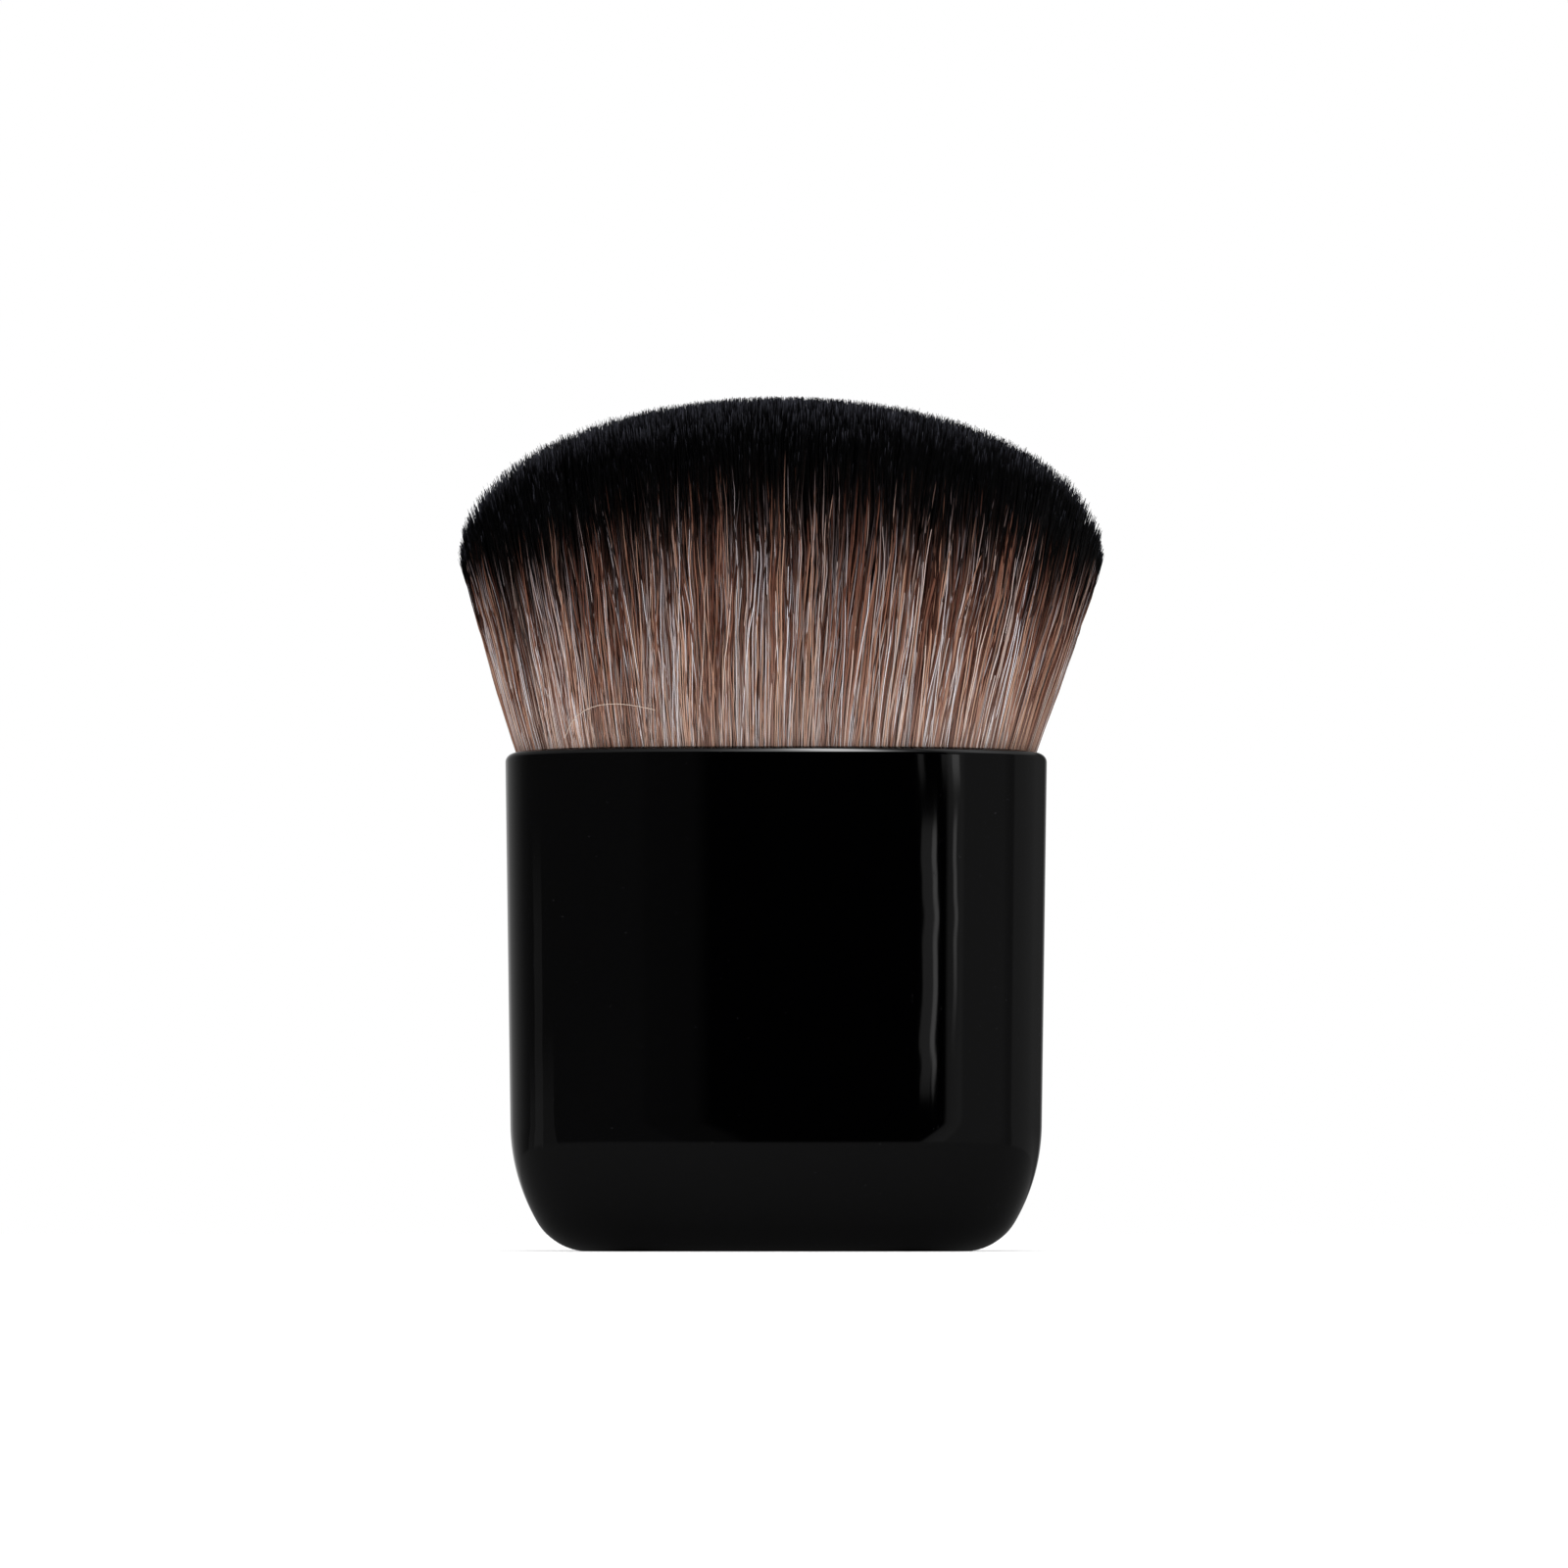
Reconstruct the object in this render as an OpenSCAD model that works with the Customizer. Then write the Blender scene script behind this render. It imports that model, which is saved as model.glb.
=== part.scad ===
// Kabuki makeup brush: a gloss block handle that stands on its flat base, with a flared head whose crown is a dome.
// The origin is the centre of the base, +Z up to the head, X across the wide front and Y from front to back.

/* [Handle] */
// Width of the handle at its rim
handle_w = 44.4; // [42:0.2:48]
// Depth of the handle at its rim, front to back
handle_d = 24; // [22:0.5:28]
// Height of the handle, from base to rim
handle_h = 40.5; // [38:0.1:50]
// Squareness of the handle in plan, where 2 is an oval
handle_power = 3.6; // [3:0.1:5]
// Lean of the handle's walls, in degrees
draft_angle = 1; // [0.2:0.1:1.5]
// Radius where the base turns up into the flank
foot_r = 4.9; // [3.6:0.1:5.4]
// Radius where the flank turns up into the wall
flank_r = 16.2; // [12:0.2:20]
// Lean of the wall where foot and flank meet, in degrees
flank_angle = 30; // [22:1:34]
// Rounding of the rim's outer edge
rim_r = 0.6; // [0.4:0.05:0.65]

/* [Shell wall] */
// Thickness of the rim at its edge
rim_t = 0.7; // [0.7:0.05:0.9]
// Wall above the ledge that carries the cup
upper_wall = 1.1; // [0.9:0.05:1.3]
// Depth of the ledge below the rim
ledge_depth = 7.1; // [6:0.1:8]
// Depth of the flared mouth below the rim
mouth_depth = 3.8; // [3:0.1:5]
// Thickness of the shell's floor
floor_t = 2.4; // [2:0.1:3]
// Bevel between the shell's floor and its wall
floor_bevel = 0.8; // [0.4:0.1:1.2]

/* [Ballast] */
// Thickness of the foam tape under the weight
tape_t = 0.6; // [0.4:0.1:1]
// Gap between the weight and the holder's skirt
weight_side_gap = 0.6; // [0.3:0.05:0.9]
// Gap between the weight and the holder's plate
weight_top_gap = 0.8; // [0.4:0.1:0.9]
// Distance between the two locating pins
pin_spacing = 16; // [12:0.5:20]
// Diameter of a locating pin
pin_d = 3; // [2.4:0.1:3.6]
// Depth of a locating pin in the weight
pin_grip = 4; // [3:0.5:6]
// Radial clearance round a locating pin
pin_fit = 0.06; // [0.03:0.01:0.1]
// Chamfer at the end of a locating pin
pin_chamfer = 0.4; // [0.2:0.1:0.6]

/* [Holder] */
// Thickness of the holder's plate
plate_t = 1.5; // [1.2:0.1:2]
// Wall of the holder's skirt
skirt_t = 1.2; // [0.9:0.1:1.4]
// Thickness of the adhesive between holder and cup
adhesive_t = 0.6; // [0.3:0.1:1]
// Thickness of a gusset under the holder's plate
gusset_t = 1.2; // [0.8:0.1:1.6]

/* [Cup] */
// Depth of the cup below its flange
cup_depth = 15.6; // [13:0.1:17]
// Wall of the drawn metal cup
cup_t = 0.5; // [0.3:0.05:0.7]
// Clearance between pieces that are bonded together
bond_gap = 0.15; // [0.1:0.01:0.2]

/* [Binding] */
// Diameter of the binding thread
thread_d = 0.8; // [0.6:0.05:1]
// Loops of thread round the roots
thread_loops = 4; // [2:1:5]
// Space between one loop and the next
thread_space = 0.5; // [0.42:0.02:0.7]
// Depth of the top loop below the slice that the locks stand in
thread_drop = 2.5; // [2:0.1:3]
// Clearance under the thread in its groove
groove_gap = 0.35; // [0.3:0.01:0.4]

/* [Head] */
// Width of the head at its widest level
head_w = 52.8; // [51:0.2:58]
// Depth of the head at that level, front to back
head_d = 31.6; // [30.4:0.2:36]
// Height of that level above the rim
spread_h = 15.6; // [15:0.2:20]
// Height of the domed crown above that level
dome_h = 13.5; // [10:0.1:14]
// Fall of the crown from its ridge to the front and back edges, at mid-width
crown_drop = 4; // [3:0.5:7]
// Squareness of the head in plan, where 2 is an oval
head_power = 2.6; // [2.4:0.1:3.6]
// Clearance between the rim and the outermost locks
rim_gap = 0.15; // [0.15:0.05:0.35]
// Locks of filaments along the width
locks_x = 27; // [25:2:29]
// Locks of filaments along the depth
locks_y = 15; // [13:2:15]
// How far locks stand off an even grid, as a share of their width
lock_jitter = 0.12; // [0:0.01:0.15]
// Share of its cell that a lock fills at the root
root_fill = 0.84; // [0.75:0.01:0.86]
// Share of its cell that a lock fills at the tip
tip_fill = 0.74; // [0.6:0.01:0.85]
// Most that a lock is cut short of the crown
trim_scatter = 0.4; // [0:0.1:0.8]
// Thickness of the slice of root resin that the locks stand in
slice_t = 1.2; // [0.8:0.1:2]

/* [Hidden] */

plan_steps = 80; // points round an outline
arc_steps = 6; // steps in each arc of the wall's section
thread_sides = 6;
thread_rings = 24; // rings in one loop of thread
gusset_angles = [35, 90, 145, 215, 270, 325];
overlap = 0.5; // how far joined solids of one piece reach into each other, and cuts past a face
jitter_seed = 5;
trim_seed = 7;

function both(v) = [v, v]; // the same value along X and Y

// The outer wall's section from the base up: foot arc, flank arc, drafted wall, rim
half = [handle_w, handle_d] / 2;
rim_start = handle_h - rim_r;
foot_top = foot_r * (1 - sin(flank_angle));
flank_top = foot_top + flank_r * (sin(flank_angle) - sin(draft_angle));
draft_run = (rim_start - flank_top) * tan(draft_angle);
flank_run = flank_r * (cos(draft_angle) - cos(flank_angle));
base_inset = draft_run + flank_run + foot_r * cos(flank_angle);

// Levels inside the handle, from the ledge down and from the floor up
ledge_z = handle_h - ledge_depth;
flange_top = ledge_z + cup_t;
cup_floor_z = ledge_z - cup_depth;
plate_top = cup_floor_z - adhesive_t;
plate_z = plate_top - plate_t;
weight_z = floor_t + tape_t;
weight_top = plate_z - weight_top_gap;
slice_z = flange_top - slice_t;

// The head's locks run straight from the slice, pass the rim at their clearance, and reach the widest level
spread_z = handle_h + spread_h;
head_half = [head_w, head_d] / 2;
mouth_half = half - both(rim_t + rim_gap);
flare = (head_half - mouth_half) / spread_h;
root_half = mouth_half - flare * (handle_h - flange_top);

// Insets of the pieces inside from the rim's outline, from the roots out to the shell and in again
root_inset = half - root_half;
cup_inset = root_inset - both(bond_gap + cup_t);
lower_wall = cup_inset - both(bond_gap + wall_inset(cup_floor_z));
flange_inset = both(wall_inset(ledge_z) + upper_wall + bond_gap);
plate_inset = lower_wall + both(wall_inset(plate_z) + bond_gap);
floor_inset = lower_wall + both(wall_inset(floor_t + floor_bevel) + floor_bevel);
skirt_inset = floor_inset + both(bond_gap);
weight_inset = skirt_inset + both(skirt_t + weight_side_gap);

// The binding lies in a groove round the root resin
thread_pitch = thread_d + thread_space;
thread_end = slice_z - thread_drop;
thread_start = thread_end - thread_loops * thread_pitch;
thread_inset = root_inset + both(thread_d / 2);
groove_inset = root_inset + both(thread_d + groove_gap);

// How far the outer wall lies inside the rim's outline at height z
function wall_inset(z) =
    z >= flank_top ? max(0, rim_start - z) * tan(draft_angle)
    : z >= foot_top ?
        let (lean = asin(sin(draft_angle) + (flank_top - z) / flank_r))
        draft_run + flank_r * (cos(draft_angle) - cos(lean))
    : base_inset - sqrt(pow(foot_r, 2) - pow(foot_r - z, 2));

// Point a degrees round the unit superellipse, with more points where it turns most
function plan_point(a, power) =
    let (c = cos(a), s = sin(a))
    [sign(c) * pow(abs(c), 2 / power), sign(s) * pow(abs(s), 2 / power)];

// The handle's outline, set in from the rim's along X and Y
function outline(inset) = [
    for (i = [0 : plan_steps - 1])
        let (p = plan_point(360 * i / plan_steps, handle_power))
        [p.x * (half.x - inset.x), p.y * (half.y - inset.y)]
];

// Pairs of inset and height round the shell's section, from below the base over the rim and down to the floor
shell_section = concat(
    [[both(base_inset), -overlap]],
    [for (i = [0 : arc_steps])
        let (lean = 90 + (flank_angle - 90) * i / arc_steps)
        [both(base_inset - foot_r * cos(lean)), foot_r * (1 - sin(lean))]],
    [for (i = [1 : arc_steps])
        let (lean = flank_angle + (draft_angle - flank_angle) * i / arc_steps)
        [both(draft_run + flank_r * (cos(draft_angle) - cos(lean))),
         flank_top - flank_r * (sin(lean) - sin(draft_angle))]],
    [for (i = [0 : arc_steps])
        let (turn = 90 * i / arc_steps)
        [both(rim_r * (1 - cos(turn))), rim_start + rim_r * sin(turn)]],
    [[both(rim_t), handle_h - (rim_t - rim_r)],
     [both(wall_inset(handle_h - mouth_depth) + upper_wall), handle_h - mouth_depth],
     [both(wall_inset(ledge_z) + upper_wall), ledge_z]],
    [for (z = [ledge_z, flank_top])
        [lower_wall + both(wall_inset(z)), z]],
    [for (i = [1 : arc_steps])
        let (z = flank_top + (floor_t + floor_bevel - flank_top) * i / arc_steps)
        [lower_wall + both(wall_inset(z)), z]],
    [[floor_inset, floor_t]]
);

// Closed solid through rings with the same number of points, with flat ends
module skin(rings) {
    n = len(rings[0]);
    last = (len(rings) - 1) * n;
    sides = [
        for (i = [0 : len(rings) - 2], j = [0 : n - 1])
            let (a = i * n + j, b = i * n + (j + 1) % n)
            each [[a, a + n, b + n], [a, b + n, b]]
    ];
    ends = [[for (j = [0 : n - 1]) j], [for (j = [n - 1 : -1 : 0]) last + j]];
    polyhedron([for (ring = rings) each ring], concat(sides, ends), convexity = 6);
}

// Upright block with the handle's outline
module block(inset, bottom, top) {
    translate([0, 0, bottom]) linear_extrude(top - bottom) polygon(outline(inset));
}

module at_pins() {
    for (side = [-1, 1]) translate([side * pin_spacing / 2, 0, 0]) children();
}

module handle_shell() {
    rings = [
        for (s = shell_section) [for (p = outline(s[0])) [p.x, p.y, s[1]]]
    ];
    color("#08080a") difference() {
        skin(rings);
        translate([-half.x, -half.y, -2 * overlap]) cube([handle_w, handle_d, 2 * overlap]);
    }
}

module weight_tape() {
    color("#3a3a3c") block(weight_inset, floor_t, weight_z);
}

module counterweight() {
    bore_depth = pin_grip + pin_chamfer;
    color("#8d9096") difference() {
        block(weight_inset, weight_z, weight_top);
        at_pins() translate([0, 0, weight_top - bore_depth])
            cylinder(r = pin_d / 2 + pin_fit, h = bore_depth + overlap, $fn = 48);
    }
}

// Triangular web between the holder's skirt and the underside of its plate
module gusset(angle) {
    p = plan_point(angle, handle_power);
    foot_half = half - skirt_inset - both(skirt_t / 2);
    tip_half = half - plate_inset - both(bond_gap);
    foot = [p.x * foot_half.x, p.y * foot_half.y];
    tip = [p.x * tip_half.x, p.y * tip_half.y];
    reach = norm(tip - foot);
    translate([foot.x, foot.y, plate_z]) rotate([90, 0, atan2(tip.y - foot.y, tip.x - foot.x)])
        translate([0, 0, -gusset_t / 2]) linear_extrude(gusset_t)
            polygon([[0, overlap], [reach, overlap], [reach, 0], [0, -2 * reach]]);
}

module locating_pin() {
    straight_z = weight_top - pin_grip + pin_chamfer;
    translate([0, 0, straight_z])
        cylinder(r = pin_d / 2, h = plate_z + overlap - straight_z, $fn = 48);
    translate([0, 0, straight_z - pin_chamfer])
        cylinder(r1 = pin_d / 2 - pin_chamfer, r2 = pin_d / 2, h = pin_chamfer, $fn = 48);
}

module cup_holder() {
    color("#2b2d30") {
        block(plate_inset, plate_z, plate_top);
        difference() {
            block(skirt_inset, floor_t, plate_z + overlap);
            block(skirt_inset + both(skirt_t), floor_t - overlap, plate_z);
        }
        at_pins() locating_pin();
        for (angle = gusset_angles) gusset(angle);
    }
}

module holder_adhesive() {
    color("#cfc7a8") block(plate_inset + both(bond_gap), plate_top, cup_floor_z);
}

module ferrule_cup() {
    color("#b9bcc2") difference() {
        union() {
            block(cup_inset, cup_floor_z, flange_top);
            block(flange_inset, ledge_z, flange_top);
        }
        block(cup_inset + both(cup_t), cup_floor_z + cup_t, flange_top + overlap);
    }
}

module root_resin() {
    color("#c8a86a") {
        block(root_inset, cup_floor_z + cup_t, thread_start - thread_d);
        block(groove_inset, cup_floor_z + cup_t, slice_z);
        block(root_inset, thread_end + thread_d, slice_z);
    }
}

// Centre of the thread, a degrees along it
function thread_point(a) =
    let (p = plan_point(a, handle_power))
    [p.x * (half.x - thread_inset.x), p.y * (half.y - thread_inset.y), thread_start + thread_pitch * a / 360];

module binding_thread() {
    path = [for (i = [0 : thread_loops * thread_rings]) thread_point(360 * i / thread_rings)];
    last = len(path) - 1;
    rings = [
        for (i = [0 : last])
            let (
                along = path[min(i + 1, last)] - path[max(i - 1, 0)],
                side = cross(along, [0, 0, 1]),
                across = side / norm(side),
                up = cross(across, along) / norm(along)
            )
            [for (k = [0 : thread_sides - 1])
                let (turn = -360 * k / thread_sides)
                path[i] + thread_d / 2 * (cos(turn) * across + sin(turn) * up)]
    ];
    gaps = [
        for (i = [0 : last], j = [i + thread_rings / 2 : 1 : last])
            norm(path[i] - path[j]) - thread_d
    ];
    echo(least_gap_between_loops = min(gaps));
    color("#e6e0d2") skin(rings);
}

// Takes a point of the square from -1 to 1 to the unit superellipse, edge to edge
function rounded(p, power) = [
    p.x * pow(1 - pow(abs(p.y), power) / 2, 1 / power),
    p.y * pow(1 - pow(abs(p.x), power) / 2, 1 / power)
];

// Where the line of a lock at grid point p leaves the slice
function root_point(p) =
    let (q = rounded(p, handle_power))
    [q.x * root_half.x, q.y * root_half.y, flange_top];

// Height of the crown above the widest level on that line
function crown_height(p) =
    let (
        q = rounded(p, head_power),
        lean = flare.x / head_half.x,
        a = pow(q.x * lean, 2) + 1 / pow(dome_h, 2),
        b = lean * q.x * q.x,
        ridge = (sqrt(max(0, b * b - a * (q.x * q.x - 1))) - b) / a,
        fall = crown_drop / dome_h * (1 - sqrt(1 - q.y * q.y))
    )
    ridge * (1 - fall);

// Where that line ends, cut short of the crown
function tip_point(p, cut) =
    let (
        root = root_point(p),
        q = rounded(p, head_power),
        spread = [q.x * head_half.x, q.y * head_half.y, spread_z],
        reach = (spread_z - flange_top + crown_height(p) - cut) / (spread_z - flange_top)
    )
    root + (spread - root) * reach;

// A square cell's corners, drawn in towards its middle
function drawn_in(corners, fill) =
    let (middle = (corners[0] + corners[1] + corners[2] + corners[3]) / 4)
    [for (c = corners) middle + (c - middle) * fill];

// Two triangles that face the viewer who sees a, b, c, d run anticlockwise
function quad(a, b, c, d) = [[a, c, b], [a, d, c]];

module filament_tuft() {
    nx = locks_x;
    ny = locks_y;
    row = nx + 1;
    offsets = rands(-lock_jitter, lock_jitter, 2 * row * (ny + 1), jitter_seed);
    cuts = rands(0, trim_scatter, nx * ny, trim_seed);

    // Square grid with its inner points moved about, and the numbers of the points round its edge
    grid = [
        for (j = [0 : ny], i = [0 : nx])
            let (
                k = 2 * (j * row + i),
                free = i > 0 && i < nx && j > 0 && j < ny ? 1 : 0
            )
            [2 * (i + free * offsets[k]) / nx - 1, 2 * (j + free * offsets[k + 1]) / ny - 1]
    ];
    edge = concat(
        [for (i = [0 : nx - 1]) i],
        [for (j = [0 : ny - 1]) j * row + nx],
        [for (i = [nx : -1 : 1]) ny * row + i],
        [for (j = [ny : -1 : 1]) j * row]
    );
    cells = [
        for (j = [0 : ny - 1], i = [0 : nx - 1])
            [j * row + i, j * row + i + 1, (j + 1) * row + i + 1, (j + 1) * row + i]
    ];

    slice_top = [for (p = grid) root_point(p)];
    slice_bottom = [for (e = edge) [slice_top[e].x, slice_top[e].y, slice_z]];
    locks = [
        for (n = [0 : len(cells) - 1])
            let (corners = [for (c = cells[n]) grid[c]])
            each concat(
                [for (p = drawn_in(corners, root_fill)) root_point(p)],
                [for (p = drawn_in(corners, tip_fill)) tip_point(p, cuts[n])]
            )
    ];

    bottom_start = len(slice_top);
    lock_start = bottom_start + len(edge);
    lock_faces = [
        for (n = [0 : len(cells) - 1])
            let (cell = cells[n], root = lock_start + 8 * n, tip = root + 4)
            each concat(
                [for (k = [0 : 3]) let (m = (k + 1) % 4) each quad(cell[k], cell[m], root + m, root + k)],
                [for (k = [0 : 3]) let (m = (k + 1) % 4) each quad(root + k, root + m, tip + m, tip + k)],
                quad(tip, tip + 1, tip + 2, tip + 3)
            )
    ];
    side_faces = [
        for (k = [0 : len(edge) - 1])
            let (m = (k + 1) % len(edge))
            each quad(bottom_start + k, bottom_start + m, edge[m], edge[k])
    ];
    bottom_face = [[for (k = [0 : len(edge) - 1]) bottom_start + k]];

    color("#5a3f38") polyhedron(
        concat(slice_top, slice_bottom, locks), concat(lock_faces, side_faces, bottom_face), convexity = 20
    );
}

handle_shell();
weight_tape();
counterweight();
cup_holder();
holder_adhesive();
ferrule_cup();
root_resin();
binding_thread();
filament_tuft();
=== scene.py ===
import math

import bpy
from bpy.props import FloatProperty, FloatVectorProperty, PointerProperty
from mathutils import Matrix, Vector
from mathutils.geometry import interpolate_bezier


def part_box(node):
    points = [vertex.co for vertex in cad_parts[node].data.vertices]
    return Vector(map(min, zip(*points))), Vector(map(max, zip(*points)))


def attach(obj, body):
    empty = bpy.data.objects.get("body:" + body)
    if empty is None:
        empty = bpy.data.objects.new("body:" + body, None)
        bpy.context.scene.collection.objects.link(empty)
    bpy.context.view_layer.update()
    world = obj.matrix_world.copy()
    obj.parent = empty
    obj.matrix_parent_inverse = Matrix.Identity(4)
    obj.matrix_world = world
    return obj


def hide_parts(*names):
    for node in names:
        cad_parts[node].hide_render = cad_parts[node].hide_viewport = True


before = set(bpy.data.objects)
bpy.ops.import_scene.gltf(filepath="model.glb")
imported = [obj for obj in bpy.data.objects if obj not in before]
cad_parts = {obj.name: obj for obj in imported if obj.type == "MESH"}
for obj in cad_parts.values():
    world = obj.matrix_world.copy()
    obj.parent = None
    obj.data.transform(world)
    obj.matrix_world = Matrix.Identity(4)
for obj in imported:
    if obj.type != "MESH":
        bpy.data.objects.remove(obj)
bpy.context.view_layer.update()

bl_info = {
    "name": "Kabuki Brush",
    "version": (1, 0, 0),
    "blender": (4, 5, 0),
    "location": "View3D > Sidebar > Brush",
    "description": "Builds a kabuki brush with a gloss handle and a dyed filament head",
    "category": "Object",
}

MM = 0.001
SHELL_LOW, SHELL_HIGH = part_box("handle_shell")
CUP_LOW, CUP_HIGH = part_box("ferrule_cup")
RESIN_LOW, RESIN_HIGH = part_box("root_resin")
TAPE_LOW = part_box("weight_tape")[0]
CUP_WALL = RESIN_LOW.z - CUP_LOW.z

# The photograph's frame: where the middle of the base stands in it, and its scale at the brush
PHOTO_PIXELS = 1600
AXIS_PIXEL = 792
BASE_PIXEL = 1277
PIXELS_PER_MM = 12.43

MAP_NAME = "OFBake"  # the filaments' own map: tone across, height along
LANES = 64  # columns of that map, of one tone each
FRONT_LANES = 32  # lanes for the outermost filaments, which stay pale further up, as the filaments behind them carry painted shade
DYE_LEVEL = 0.8  # where the dye line lies along that map
TIP_LEVEL = 0.9  # where a filament's last millimetre begins along it


def length(name, default, description):
    """A size in metres."""
    return FloatProperty(
        name=name, default=default, description=description,
        min=0, precision=5, unit="LENGTH", subtype="DISTANCE",
    )


def angle(name, default, description):
    """An angle, with its default in degrees."""
    return FloatProperty(
        name=name, default=math.radians(default), description=description,
        min=0, unit="ROTATION", subtype="ANGLE",
    )


def shade(name, default, description):
    """A colour."""
    return FloatVectorProperty(
        name=name, default=default, description=description, size=3, min=0, max=1, subtype="COLOR"
    )


def number(name, default, description):
    """A plain number."""
    return FloatProperty(name=name, default=default, description=description, min=0)


class HandleSettings(bpy.types.PropertyGroup):
    """Sizes and colour of the moulded handle."""

    width: length("Width", SHELL_HIGH.x - SHELL_LOW.x, "Width at the rim")
    depth: length("Depth", SHELL_HIGH.y - SHELL_LOW.y, "Depth at the rim, front to back")
    height: length("Height", SHELL_HIGH.z, "Height from base to rim")
    power: number("Squareness", 3.6, "Power of the outline, where 2 is an oval")
    draft: angle("Draft", 1, "Lean of the walls")
    foot: length("Foot radius", 4.9 * MM, "Radius where the base turns up into the flank")
    flank: length("Flank radius", 16.2 * MM, "Radius where the flank turns up into the wall")
    lean: angle("Flank lean", 30, "Lean of the wall where foot and flank meet")
    rim: length("Rim rounding", 0.6 * MM, "Rounding of the rim's outer edge")
    edge: length("Rim thickness", 0.7 * MM, "Thickness of the rim at its edge")
    upper_wall: length("Upper wall", 1.1 * MM, "Wall above the ledge that carries the cup")
    mouth: length("Mouth depth", 3.8 * MM, "Depth of the flared mouth")
    bond: length("Bond gap", 0.15 * MM, "Clearance between pieces that are bonded together")
    bevel: length("Floor bevel", 0.8 * MM, "Bevel between the floor and the inner wall")
    black: shade("Black", (0.0002, 0.0002, 0.0003), "Colour of the moulding")


class HeadSettings(bpy.types.PropertyGroup):
    """Sizes and colours of the filament head."""

    width: length("Width", 52.8 * MM, "Width at the widest level")
    depth: length("Depth", 31.6 * MM, "Depth at that level, front to back")
    spread: length("Spread height", 15.6 * MM, "Height of that level above the rim")
    dome: length("Dome height", 13.5 * MM, "Height of the crown above that level")
    drop: length("Crown drop", 4 * MM, "Fall of the crown from its ridge to its front and back edges")
    power: number("Squareness", 2.6, "Power of the outline, where 2 is an oval")
    thickness: length("Filament thickness", 0.105 * MM, "Thickness of a filament below its taper")
    wave: length("Wave", 0.2 * MM, "Most that a filament's own waves swing")
    drift: length("Drift", 0.5 * MM, "How far neighbouring filaments drift together")
    bow: length("Bow", 0.2 * MM, "How far the sides belly out between the rim and the widest level")
    lean: length("Lean", 0.4 * MM, "How far the head leans over to its right")
    outer: number("Outer layer", 0.94, "Share of the half width at which the outer layer begins")
    middle: number("Middle layer", 0.80, "Share of the half width at which the middle layer begins")
    dye_depth: length("Dye depth", 8.9 * MM, "Depth of the dye line below the top of the crown")
    dye_floor: length("Lowest dye", 55.5 * MM, "Height that the dye line doesn't go below")
    dye_scatter: length("Dye scatter", 2.2 * MM, "How far the dye line varies from filament to filament")
    root: shade("Root", (0.85, 0.64, 0.55), "Colour that the filaments lean to at the rim")
    dye: shade("Dye", (0.0012, 0.0012, 0.0016), "Colour of the dyed ends")
    # The tip colour is a painted highlight, for the light that the dyed tips catch
    tip: shade("Tip", (0.115, 0.118, 0.15), "Colour of the palest tips")


class StageSettings(bpy.types.PropertyGroup):
    """The studio round the brush."""

    distance: length("Camera distance", 0.45, "Distance of the camera from the brush")
    level: length("Camera level", 1.5 * MM, "Height of the camera above the floor")
    floor: shade("Floor", (0.88, 0.88, 0.88), "Colour of the floor")
    ambient: number("Ambient", 0.34, "Strength of the light from all round")
    key: number("Key", 8.1, "Power of the key lamp in watts")
    fill: number("Fill", 0.7, "Power of the fill lamp and of the rear lamp in watts")
    tent: length("Tent radius", 0.55, "Radius of the reflection tent")


class BrushSettings(bpy.types.PropertyGroup):
    """All settings of the brush and its stage."""

    handle: PointerProperty(type=HandleSettings, name="Handle", description="The moulded handle")
    head: PointerProperty(type=HeadSettings, name="Head", description="The filament head")
    stage: PointerProperty(type=StageSettings, name="Stage", description="The studio")


class Term:
    """A socket in an expression: each operator adds a Math node to the socket's tree."""

    def __init__(self, socket):
        self.socket = socket

    def math(self, operation, *terms):
        made = self.socket.id_data.nodes.new("ShaderNodeMath")
        made.operation = operation
        for socket, term in zip(made.inputs, terms):
            feed(socket, term)
        return Term(made.outputs[0])

    def __add__(self, other):
        return self.math("ADD", self, other)

    def __sub__(self, other):
        return self.math("SUBTRACT", self, other)

    def __rsub__(self, other):
        return self.math("SUBTRACT", other, self)

    def __mul__(self, other):
        return self.math("MULTIPLY", self, other)

    def __truediv__(self, other):
        return self.math("DIVIDE", self, other)

    def __rtruediv__(self, other):
        return self.math("DIVIDE", other, self)

    def __pow__(self, other):
        return self.math("POWER", self, other)

    def __neg__(self):
        return self.math("MULTIPLY", self, -1)

    def __abs__(self):
        return self.math("ABSOLUTE", self)

    __radd__ = __add__
    __rmul__ = __mul__

    def floor(self):
        return self.math("FLOOR", self)

    def sin(self):
        return self.math("SINE", self)

    def sqrt(self):
        return self.math("SQRT", self.math("MAXIMUM", self, 0))

    def most(self, other):
        """The larger of the two."""
        return self.math("MAXIMUM", self, other)

    def least(self, other):
        """The smaller of the two."""
        return self.math("MINIMUM", self, other)

    def within(self, low, high):
        return self.most(low).least(high)

    def step(self, low, high):
        """0 up to low and 1 from high, with a smooth step between them."""
        made = self.socket.id_data.nodes.new("ShaderNodeMapRange")
        made.interpolation_type = "SMOOTHSTEP"
        for name, value in (("Value", self), ("From Min", low), ("From Max", high)):
            feed(made.inputs[name], value)
        return Term(made.outputs[0])


def feed(socket, value):
    """Links a term or a socket to a socket, or sets the socket's value."""
    if isinstance(value, Term):
        value = value.socket
    if isinstance(value, bpy.types.NodeSocket):
        socket.id_data.links.new(value, socket)
    elif socket.type == "RGBA":
        socket.default_value = (*value, 1)
    else:
        socket.default_value = value


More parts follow.
